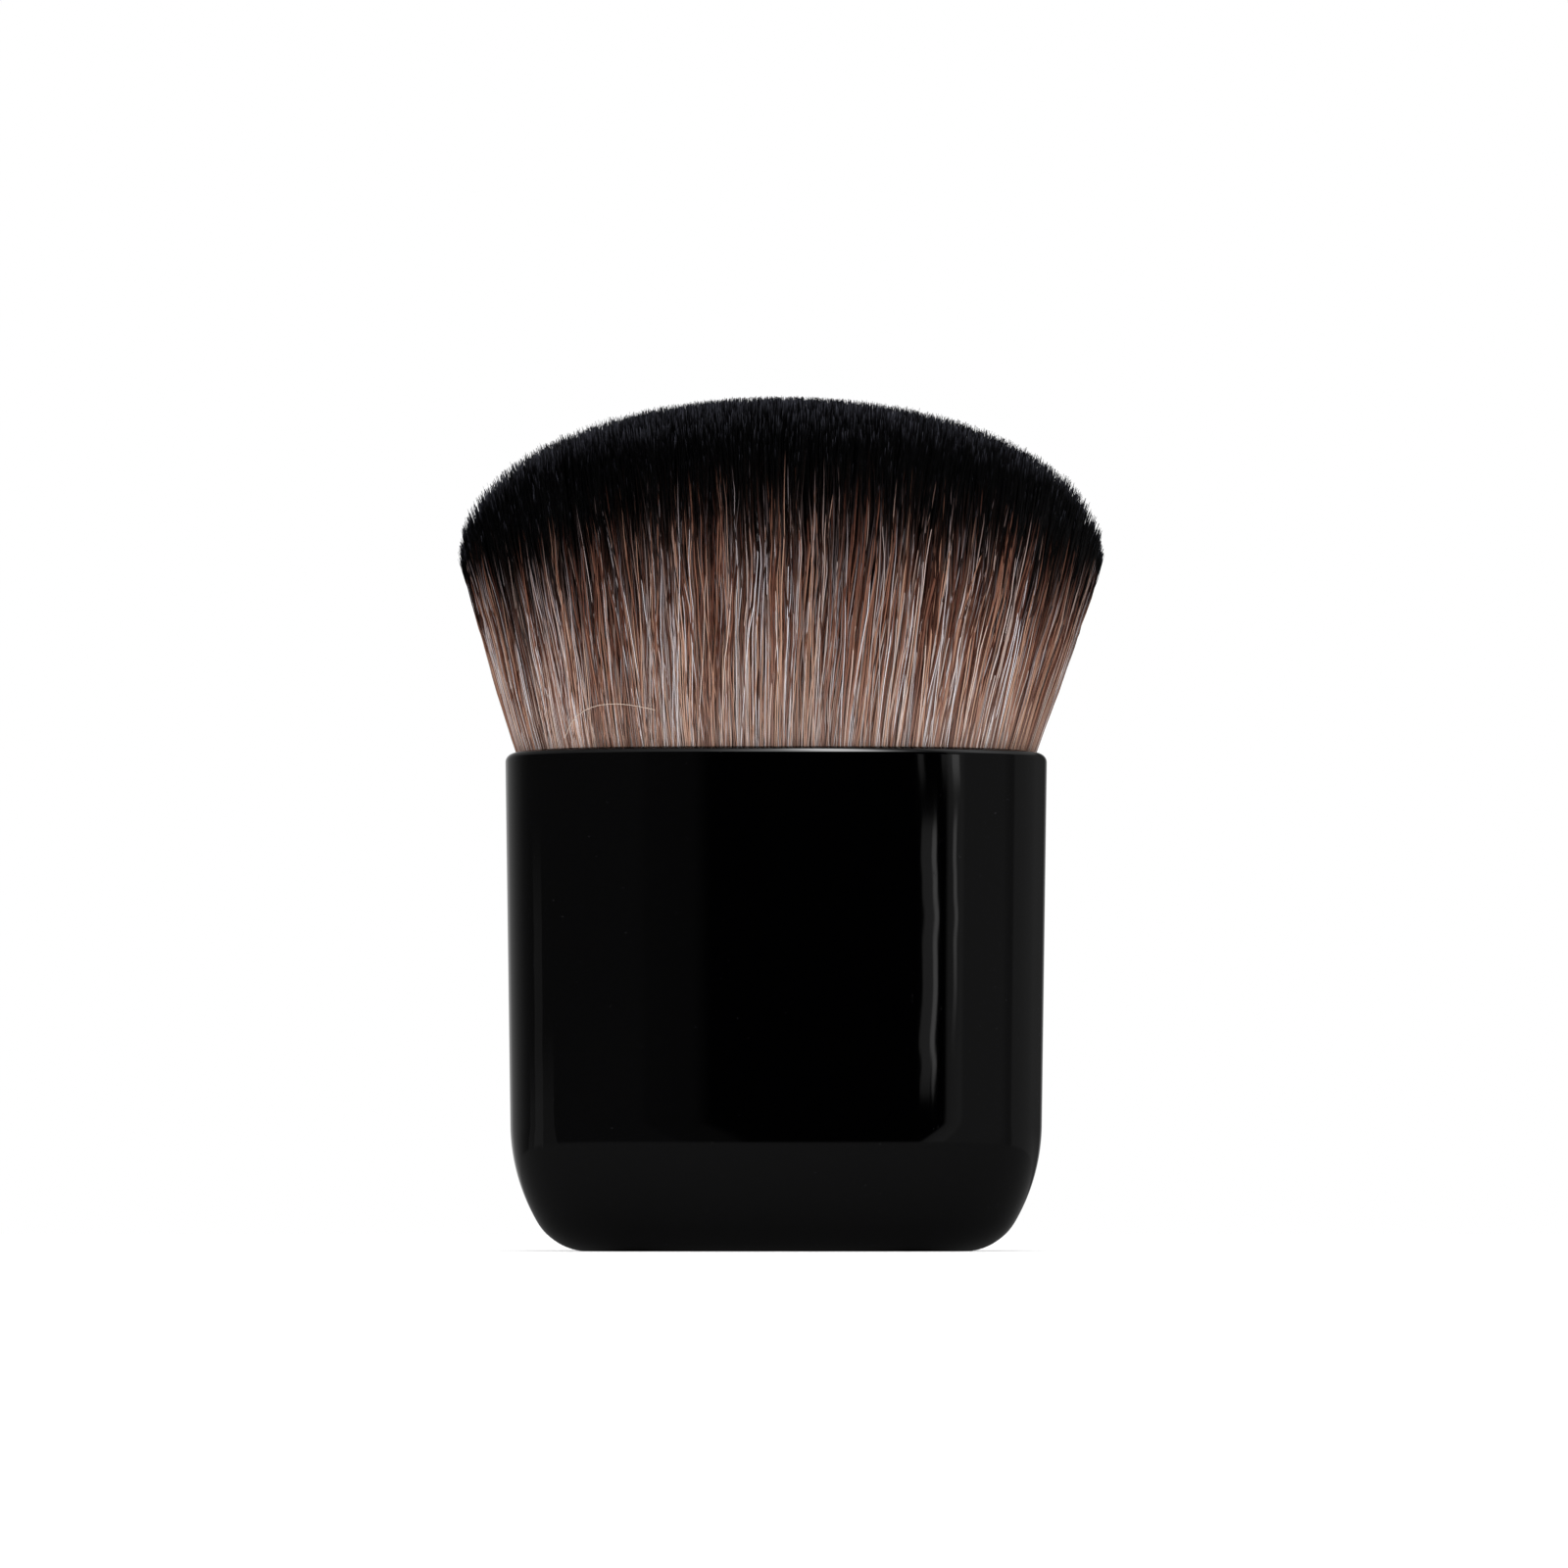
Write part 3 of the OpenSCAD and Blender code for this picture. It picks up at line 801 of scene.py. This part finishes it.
    width = thickness / 2 * (DARK_WIDTH - PALE_THINNING * pallor) * (1 - TIP_THINNING * free ** TIP_TAPER)
    lines = tree.node(
        "GeometryNodeCaptureAttribute", {"captures": ["Lane", "Level", "Width"]},
        {"Geometry": lines, "Lane": lane, "Level": level, "Width": width},
    )
    capture = lines.socket.node.outputs
    profile = tree.node("GeometryNodeCurvePrimitiveCircle", inputs={
        "Resolution": FILAMENT_SIDES, "Radius": 1,
    })
    mesh = tree.node("GeometryNodeCurveToMesh", inputs={
        "Curve": lines, "Profile Curve": profile, "Scale": Term(capture["Width"]), "Fill Caps": True,
    })
    mesh = tree.node("GeometryNodeSetShadeSmooth", inputs={"Geometry": mesh})
    side = index.math("MODULO", index, FILAMENT_SIDES)
    side = tree.node("GeometryNodeFieldOnDomain", inputs={"Value": side})
    u = (Term(capture["Lane"]) + LANE_START + side * LANE_STEP) / LANES
    v = Term(capture["Level"]) * LEVEL_TOP + side * LEVEL_STEP
    mesh = tree.node(
        "GeometryNodeStoreNamedAttribute", {"data_type": "FLOAT2", "domain": "CORNER"},
        {"Geometry": mesh, "Name": MAP_NAME, "Value": tree.vector(u, v, 0)},
    )
    tree.finish(mesh, *tree.take("Material"))
    return tree.tree


def photo_point(x, y):
    """The point that the photograph shows at a pixel, on the plane through the middle of the brush."""
    return Vector(((x - AXIS_PIXEL) / PIXELS_PER_MM * MM, 0, (BASE_PIXEL - y) / PIXELS_PER_MM * MM))


def camera_place(stage):
    """Where the photograph's camera stands."""
    return Vector((photo_point(PHOTO_PIXELS / 2, PHOTO_PIXELS / 2).x, -stage.distance, stage.level))


def thread_mesh(name, knots, radius, sides=5, steps=14):
    """Closed tube along a bent line: two ends and the two points that bend it."""
    start, bend_start, bend_end, end = knots
    line = interpolate_bezier(start, bend_start, bend_end, end, steps)
    rings = []
    for i, point in enumerate(line):
        along = (line[min(i + 1, steps - 1)] - line[max(i - 1, 0)]).normalized()
        across = along.cross(Vector((0, 1, 0))).normalized()
        up = along.cross(across)
        turns = [math.tau * k / sides for k in range(sides)]
        rings.append([point + (across * math.cos(turn) + up * math.sin(turn)) * radius for turn in turns])
    return skin(name, rings)


# Layer by layer from the outside in: filaments in a piece, rings in a filament, pieces, the share of its
# filaments that count as deep and are drawn with painted shade, where more than 1 means all, and the most
# that one is cut short of the crown
LAYERS = (
    ("outer", 2400, 14, 3, 0.75, 8 * MM),
    ("middle", 4400, 8, 2, 2.0, 2 * MM),
    ("core", 7600, 5, 4, 2.0, 0.4 * MM),
)
SEED_STEP = 10  # from one piece's seed to the next, past the draws that a piece makes
SLICE_STEPS = 160  # points round the slice of resin
STRAY_THICKNESS = 0.3  # radius of the stray filament, as a share of the others' thickness
# The stray filament on the front: pixels in the photograph, and how far they lie towards the camera from the
# middle of the brush, as a share of half the head's depth
STRAY_KNOTS = ((576, 752, 0.735), (588, 708, 0.80), (635, 716, 0.80), (668, 724, 0.785))


class KABUKI_OT_filaments(bpy.types.Operator):
    """Grows the filaments of the head in layers, and the slice of resin that they stand in"""

    bl_idname = "kabuki.filaments"
    bl_label = "Filaments"

    def execute(self, context):
        handle, head = context.scene.kabuki.handle, context.scene.kabuki.head
        finish = filament_finish(head)
        values = {
            "Count": 1, "Rings": 5, "Seed": 0, "Inner Edge": 0.0, "Outer Edge": 1.0, "Deep Share": 1.0,
            "Root Height": CUP_HIGH.z, "Rim Height": handle.height,
            "Spread Height": handle.height + head.spread,
            "Root Half Width": RESIN_HIGH.x, "Root Half Depth": RESIN_HIGH.y,
            "Half Width": head.width / 2, "Half Depth": head.depth / 2,
            "Root Squareness": handle.power, "Squareness": head.power,
            "Dome Height": head.dome, "Drop": head.drop, "Trim": 0.0,
            "Wave": head.wave, "Drift": head.drift, "Thickness": head.thickness,
            "Bow": head.bow, "Lean": head.lean,
            "Dye Depth": head.dye_depth, "Dye Floor": head.dye_floor, "Dye Scatter": head.dye_scatter,
            "Material": finish,
        }
        tree = filament_tree(values)
        seed = 0
        edges = (1.0, head.outer, head.middle, 0.0)
        for (layer, count, rings, pieces, deep_share, trim), outer, inner in zip(LAYERS, edges, edges[1:]):
            values.update({
                "Count": count, "Rings": rings, "Inner Edge": inner, "Outer Edge": outer,
                "Deep Share": deep_share, "Trim": trim,
            })
            for part in range(1, pieces + 1):
                seed += SEED_STEP
                name = f"filaments_{layer}_{part}"
                mesh = grow(name, tree, {**values, "Seed": seed})
                add_piece(name, mesh, finish, ["filament_tuft"])
        half = Vector((RESIN_HIGH.x, RESIN_HIGH.y))
        rings = [ring(half, handle.power, z, SLICE_STEPS) for z in (RESIN_HIGH.z, CUP_HIGH.z)]
        add_piece("root_slice", skin("root_slice", rings), cast_resin(), ["filament_tuft"])

        stage = context.scene.kabuki.stage
        near = head.depth / 2 / stage.distance
        eye = camera_place(stage)
        knots = [eye.lerp(photo_point(x, y), 1 - share * near) for x, y, share in STRAY_KNOTS]
        mesh = thread_mesh("stray_filament", knots, head.thickness * STRAY_THICKNESS)
        add_piece("stray_filament", mesh, pale_filament(), ["filament_tuft"])
        return {"FINISHED"}


class KABUKI_OT_inside(bpy.types.Operator):
    """Gives the pieces inside the handle their finishes"""

    bl_idname = "kabuki.inside"
    bl_label = "Pieces Inside"

    def execute(self, context):
        finishes = {
            "weight_tape": foam, "counterweight": sawn_steel, "cup_holder": black_moulding,
            "holder_adhesive": cured_adhesive, "ferrule_cup": drawn_aluminium, "root_resin": cast_resin,
            "binding_thread": waxed_thread,
        }
        for node, finish in finishes.items():
            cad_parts[node].material_slots[0].material = finish()
        return {"FINISHED"}


def aim(thing, place, target):
    """Puts a camera or a lamp at a place and points it at a target."""
    thing.location = place
    thing.rotation_euler = (Vector(target) - Vector(place)).to_track_quat("-Z", "Y").to_euler()


def add_camera(stage):
    """The photograph's view, from just above the floor to the middle of the picture."""
    data = bpy.data.cameras.new("camera")
    data.lens = data.sensor_width * stage.distance / (PHOTO_PIXELS / PIXELS_PER_MM * MM)
    data.clip_start = 10 * MM
    camera = new_object("camera", data)
    aim(camera, camera_place(stage), photo_point(PHOTO_PIXELS / 2, PHOTO_PIXELS / 2))
    bpy.context.scene.camera = camera


# Each lamp's name, edge and place
KEY_LAMP = ("key", 0.5, (0.02, -0.55, 0.75))
FILL_LAMPS = (("fill", 0.6, (-0.6, -0.6, 0.4)), ("rear", 0.6, (0.2, 0.8, 0.6)))
LAMP_TARGET = (0, 0, 40 * MM)


def add_lamp(power, name, size, place):
    """A soft square lamp that gives light but doesn't show in the gloss."""
    data = bpy.data.lights.new(name, "AREA")
    data.shape = "SQUARE"
    data.size = size
    data.energy = power
    lamp = new_object(name, data)
    lamp.visible_glossy = False
    aim(lamp, place, LAMP_TARGET)


def add_world(stage):
    """White behind everything that is seen or mirrored, and a plain ambient light on the brush."""
    world = bpy.data.worlds.new("studio")
    world.use_nodes = True
    bpy.context.scene.world = world
    path = world.node_tree.nodes.new("ShaderNodeLightPath").outputs
    camera, glossy, through = [Term(path[f"Is {kind} Ray"]) for kind in ("Camera", "Glossy", "Transmission")]
    seen = camera.most(glossy).most(through)
    background = world.node_tree.nodes["Background"].inputs
    feed(background["Color"], (1, 1, 1))
    feed(background["Strength"], stage.ambient + seen * (1 - stage.ambient))


FLOOR_HALF = 4  # metres from the floor's middle to its edges
FLOOR_GLOW = 0.4  # how white the floor glows close to the brush, where its shadow lies
GLOW_REACH = (0.2, 0.6)  # distances in metres between which the glow grows to white


def add_floor(stage):
    """A plain white floor that keeps the brush's shadow and turns into the white background."""
    mesh = bpy.data.meshes.new("floor")
    corners = [(x * FLOOR_HALF, y * FLOOR_HALF, 0) for x, y in ((-1, -1), (1, -1), (1, 1), (-1, 1))]
    mesh.from_pydata(corners, [], [(0, 1, 2, 3)])
    surface = Surface("floor", {"Roughness": 1, "Specular IOR Level": 0, "Emission Color": (1, 1, 1)})
    path = surface.tree.nodes.new("ShaderNodeLightPath").outputs
    seen = Term(path["Is Camera Ray"]).most(Term(path["Is Glossy Ray"]))
    x, y, _ = surface.parts(surface.place())
    out = (x * x + y * y).sqrt()
    surface.paint(tuple(stage.floor))
    glow = FLOOR_GLOW + (1 - FLOOR_GLOW) * out.step(*GLOW_REACH)
    feed(surface.shader.inputs["Emission Strength"], seen * glow)
    mesh.materials.append(surface.material)
    new_object("floor", mesh)


TENT_COLUMNS = 96
TENT_ROWS = 32
TENT_TOP = 88  # degrees up to which the tent's wall reaches
TENT_GAP = 0.05 * MM  # between the tent and the floor
# What stands round the brush and shows in its gloss: pairs of azimuth in degrees, from the camera towards +X,
# and brightness. LOW is level with the brush, and HIGH is the soft box overhead.
LOW_CARDS = [
    (-180, 0.5), (-159.2, 0.45), (-148.5, 0.27), (-132, 0.22), (-102, 0.085), (-88.5, 0.06),
    (-12.9, 0.058), (-11.9, 0.045), (-3.6, 0.038), (-2.8, 0.0), (23, 0.0), (23.8, 0.18),
    (24.6, 0.2), (30.4, 0.25), (31, 0.17), (59.5, 0.17), (69, 0.12), (73, 0.12),
    (75, 0.21), (98, 0.2), (118, 0.17), (134, 0.1), (154, 0.042), (180, 0.5),
]
HIGH_CARDS = [
    (-180, 0.3), (-40, 0.3), (-12, 0.45), (-3.5, 0.65), (-0.8, 1.7), (0, 3),
    (0.7, 7), (2, 12), (6, 9), (9.4, 3), (13.4, 0.8), (19.4, 0.25),
    (28, 0.65), (42, 1.3), (62, 1.0), (90, 0.6), (140, 0.35), (180, 0.3),
]
BOX_START = (25, 36)  # degrees up between which the cards give way to the soft box
BOX_END = (78, 83)  # degrees up between which the soft box gives way to the plain top
TOP_LEVEL = 0.3  # brightness of that top
CARD_SCALE = 12  # a ramp holds greys up to 1, so levels are stored as shares of this
# Narrow strips between the cards. Each has its edges in degrees, the heights over which it comes in and those
# over which it goes out, and its brightness.
STRIPS = (
    ((15.2, 18.2), (3 * MM, 11 * MM), (54 * MM, 57 * MM), 0.3),
    ((25.8, 27.3), (12 * MM, 40 * MM), (54 * MM, 59 * MM), 0.8),
    ((20.8, 28.2), (60 * MM, 68 * MM), (80 * MM, 90 * MM), 0.25),
    ((24.8, 27.8), (60 * MM, 65 * MM), (80 * MM, 90 * MM), 0.7),
    ((13.9, 15.4), (61 * MM, 65 * MM), (80 * MM, 90 * MM), 0.28),
    ((-83, -70.5), (-9 * MM, -1 * MM), (34 * MM, 60 * MM), 0.09),
    ((-93, -57), (-9 * MM, -1 * MM), (4 * MM, 22 * MM), 0.07),
)
STRIP_EDGE = (0.2, 0.3)  # degrees outside and inside of its edge between which a strip fades
# The brightest strip tapers to both ends: its middle, the heights over which it comes in and goes out, half
# its width at the ends and what it gains between them in degrees, the share where it fades, its brightness
STREAK_AZIMUTH = 19
STREAK_HEIGHTS = ((3 * MM, 14 * MM), (53 * MM, 57 * MM))
STREAK_END = 0.25
STREAK_GAIN = 0.65
STREAK_EDGE = 0.6
STREAK_LEVEL = 1.1
SWAY = 4  # degrees from side to side, for the wavy edges that a moulded wall gives to what it mirrors
SWAYS = 90  # sways in a metre of height
# Pale ground close round the base: how far the straight part of the base reaches along X, the distance from
# it where the ground starts to brighten, those between which it ends, its brightness and how fast it comes
BASE_MIDDLE = 10.2 * MM
GROUND_START = 5.6 * MM
GROUND_END = (48 * MM, 57 * MM)
GROUND_LEVEL = 0.15
GROUND_POWER = 1.6


def add_tent(stage):
    """A dome of dark and bright cards that only mirrored light sees, as flags and soft boxes round a set."""
    rings = []
    for climb in arc(0, math.radians(TENT_TOP), TENT_ROWS):
        reach = Vector.Fill(2, stage.tent * math.cos(climb))
        rings.append(ring(reach, 2, TENT_GAP + stage.tent * math.sin(climb), TENT_COLUMNS))
    mesh = skin("reflection_tent", rings)
    surface = Surface("reflection_tent", {
        "Base Color": (0, 0, 0), "Roughness": 1, "Specular IOR Level": 0, "Emission Color": (1, 1, 1),
    })
    x, y, z = surface.parts(surface.place())
    azimuth = x.math("ARCTAN2", x, -y) / math.tau + 0.5
    low, high = [
        surface.node("ShaderNodeValToRGB", {
            "stops": [(place / 360 + 0.5, level / CARD_SCALE) for place, level in cards]
        }, {"Fac": azimuth}) * CARD_SCALE
        for cards in (LOW_CARDS, HIGH_CARDS)
    ]
    sway = surface.node("ShaderNodeTexNoise", {"noise_dimensions": "1D"}, {
        "W": z, "Scale": SWAYS, "Detail": 1,
    })
    degrees = (azimuth - 0.5) * 360 + (sway - 0.5) * SWAY
    come_in, go_out = STREAK_HEIGHTS
    taper = z.step(*come_in) * (1 - z.step(*go_out))
    beside = abs(degrees - STREAK_AZIMUTH) / (STREAK_END + STREAK_GAIN * taper)
    low = low + (1 - beside.step(STREAK_EDGE, 1)) * taper * STREAK_LEVEL
    outside, inside = STRIP_EDGE
    for (start, end), come_in, go_out, level in STRIPS:
        after_start = degrees.step(start - outside, start + inside)
        across = after_start * (1 - degrees.step(end - inside, end + outside))
        low = low + across * z.step(*come_in) * (1 - z.step(*go_out)) * level
    boxed, topped = [
        (z / stage.tent).step(*[math.sin(math.radians(edge)) for edge in edges])
        for edges in (BOX_START, BOX_END)
    ]
    wall = low + (high - low) * boxed
    wall = wall + (TOP_LEVEL - wall) * topped

    # The pale ground is on the tent's floor, and shows in the rounding of the base
    beyond = (abs(x) - BASE_MIDDLE).most(0)
    away = (beyond * beyond + y * y).sqrt().most(GROUND_START)
    ground = GROUND_LEVEL * (1 - (GROUND_START / away) ** GROUND_POWER)
    near = (1 - z.step(TENT_GAP, 2 * TENT_GAP)) * (1 - away.step(*GROUND_END))
    feed(surface.shader.inputs["Emission Strength"], wall + (ground - wall) * near)
    surface.material.cycles.emission_sampling = "NONE"
    mesh.materials.append(surface.material)
    tent = new_object("reflection_tent", mesh)
    for ray in ("camera", "diffuse", "shadow", "transmission", "volume_scatter"):
        setattr(tent, f"visible_{ray}", False)


class KABUKI_OT_stage(bpy.types.Operator):
    """Sets up the camera, the white floor and background, the lamps and the reflection tent"""

    bl_idname = "kabuki.stage"
    bl_label = "Stage"

    def execute(self, context):
        stage = context.scene.kabuki.stage
        context.scene.view_settings.view_transform = "Standard"
        add_camera(stage)
        add_world(stage)
        add_floor(stage)
        add_tent(stage)
        add_lamp(stage.key, *KEY_LAMP)
        for lamp in FILL_LAMPS:
            add_lamp(stage.fill, *lamp)
        return {"FINISHED"}


SECTIONS = (("stage", KABUKI_OT_stage), ("handle", KABUKI_OT_handle), ("head", KABUKI_OT_filaments))


class KABUKI_PT_panel(bpy.types.Panel):
    """Lists the settings and the steps that build the brush"""

    bl_idname = "KABUKI_PT_panel"
    bl_label = "Kabuki Brush"
    bl_space_type = "VIEW_3D"
    bl_region_type = "UI"
    bl_category = "Brush"

    def draw(self, context):
        for name, operator in SECTIONS:
            settings = getattr(context.scene.kabuki, name)
            box = self.layout.box()
            for prop in settings.bl_rna.properties:
                if prop.identifier not in ("rna_type", "name"):
                    box.prop(settings, prop.identifier)
            box.operator(operator.bl_idname)
        self.layout.operator(KABUKI_OT_inside.bl_idname)


CLASSES = (
    HandleSettings, HeadSettings, StageSettings, BrushSettings,
    KABUKI_OT_stage, KABUKI_OT_handle, KABUKI_OT_filaments, KABUKI_OT_inside, KABUKI_PT_panel,
)


def register():
    for kind in CLASSES:
        bpy.utils.register_class(kind)
    bpy.types.Scene.kabuki = PointerProperty(type=BrushSettings)


def unregister():
    del bpy.types.Scene.kabuki
    for kind in reversed(CLASSES):
        bpy.utils.unregister_class(kind)


def main():
    register()
    bpy.ops.kabuki.stage()
    bpy.ops.kabuki.handle()
    bpy.ops.kabuki.filaments()
    bpy.ops.kabuki.inside()


if __name__ == "__main__":
    main()
